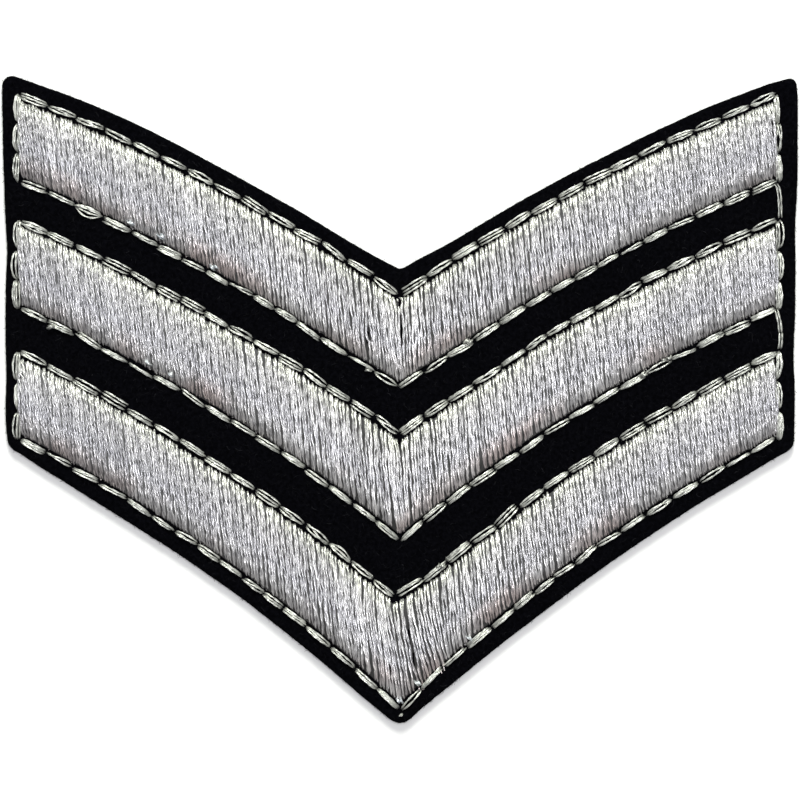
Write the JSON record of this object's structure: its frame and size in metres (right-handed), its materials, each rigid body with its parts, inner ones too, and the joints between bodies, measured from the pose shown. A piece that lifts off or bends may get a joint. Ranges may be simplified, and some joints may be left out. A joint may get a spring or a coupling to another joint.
{
  "type": "rank chevron patch",
  "caption": "Shallow V of felt with bowed wings, carrying padded satin-stitch bars that follow it, each framed by a row of short raised stitches.",
  "frame": {"origin": "on the felt's underside, at the middle of the patch's width and height", "axes": "+Z out of the embroidered face, +Y to the open side of the V, +X along the width to the right when the face is seen with the V open upwards"},
  "size_m": [0.08, 0.065, 0.0019],
  "materials": {
    "felt": "matte black wool felt",
    "satin_thread": "silver-grey thread with a silky sheen",
    "outline_thread": "silver-grey thread with a silky sheen"
  },
  "bodies": {
    "root": {"felt_backing": "felt", "upper_bar": "satin_thread", "middle_bar": "satin_thread", "lower_bar": "satin_thread", "upper_outline": "outline_thread", "middle_outline": "outline_thread", "lower_outline": "outline_thread"}
  },
  "joints": []
}
